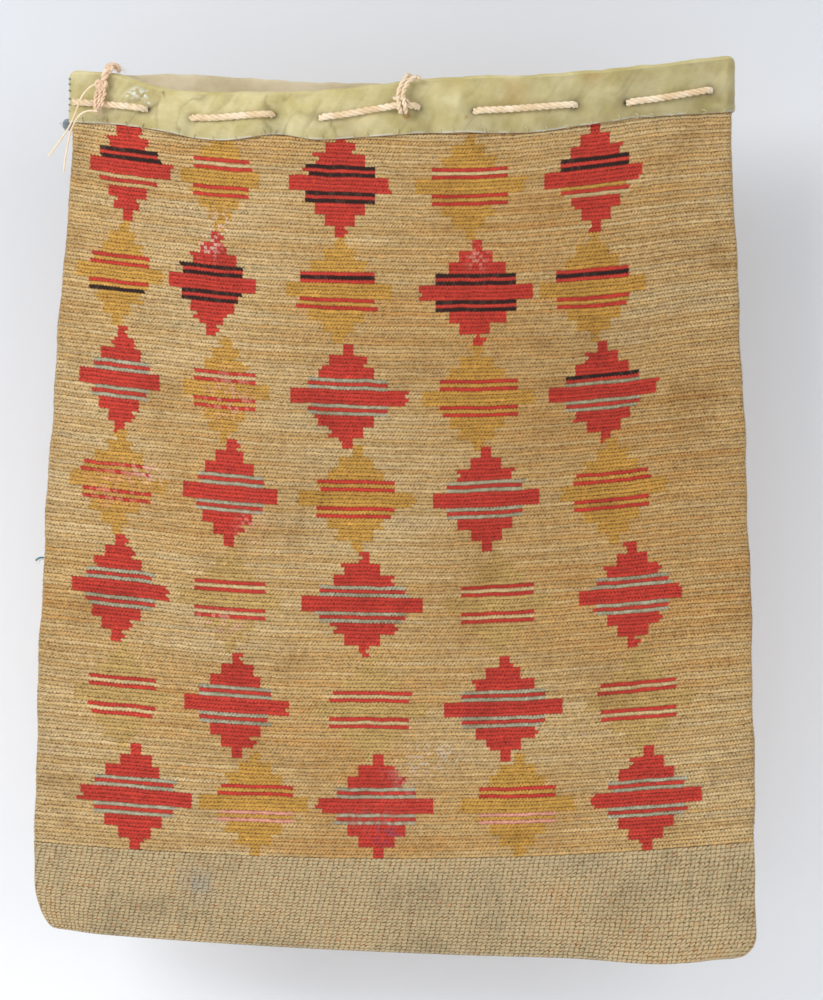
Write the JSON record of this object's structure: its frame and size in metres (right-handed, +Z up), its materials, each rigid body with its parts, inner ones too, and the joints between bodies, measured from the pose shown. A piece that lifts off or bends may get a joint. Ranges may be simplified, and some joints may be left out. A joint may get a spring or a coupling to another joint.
{
  "type": "twined storage bag",
  "caption": "Flat hand-twined storage bag with a folded hide rim, a laced drawstring and knotted ties, hung by its back rim.",
  "frame": {"origin": "middle of the back rim's upper edge, where the bag is hung up, on the back wall's inner face", "axes": "+Z up, -Y the patterned front, +X to the right seen from the front"},
  "size_m": [0.457, 0.0512, 0.5698],
  "materials": {
    "ground_weave": "twined plant fibre with dyed motifs",
    "foot_weave": "plain twined plant fibre",
    "hide": "smooth tanned hide, suede inside",
    "cotton_cord": "twisted cotton",
    "sewing_thread": "waxed thread",
    "end_thread": "green-grey thread",
    "grey_cloth": "felted cloth",
    "teal_thread": "thread"
  },
  "bodies": {
    "back": {"back_wall": "ground_weave", "back_foot_band": "foot_weave", "foot_fold": "foot_weave", "back_hide_rim": "hide", "back_drawstring": "cotton_cord", "back_hem_stitches": "sewing_thread", "rim_end_stitches": "end_thread", "cloth_scrap": "grey_cloth", "thread_end": "teal_thread"},
    "front": {"front_wall": "ground_weave", "front_foot_band": "foot_weave", "front_hide_rim": "hide", "front_drawstring": "cotton_cord", "front_hem_stitches": "sewing_thread", "left_tie": "cotton_cord", "left_tail_long": "cotton_cord", "left_tail_short": "cotton_cord"},
    "middle_tie": {"middle_tie": "cotton_cord"}
  },
  "joints": [
    {"name": "mouth_open", "type": "hinge", "parent": "back", "child": "front", "pos_m": [0, -0.0017, -0.555], "axis": [1, 0, 0], "range_deg": [0, 8]},
    {"name": "middle_tie_swing", "type": "hinge", "parent": "front", "child": "middle_tie", "pos_m": [0, -0.0362, -0.0197], "axis": [1, 0, 0], "range_deg": [0, 165]}
  ]
}
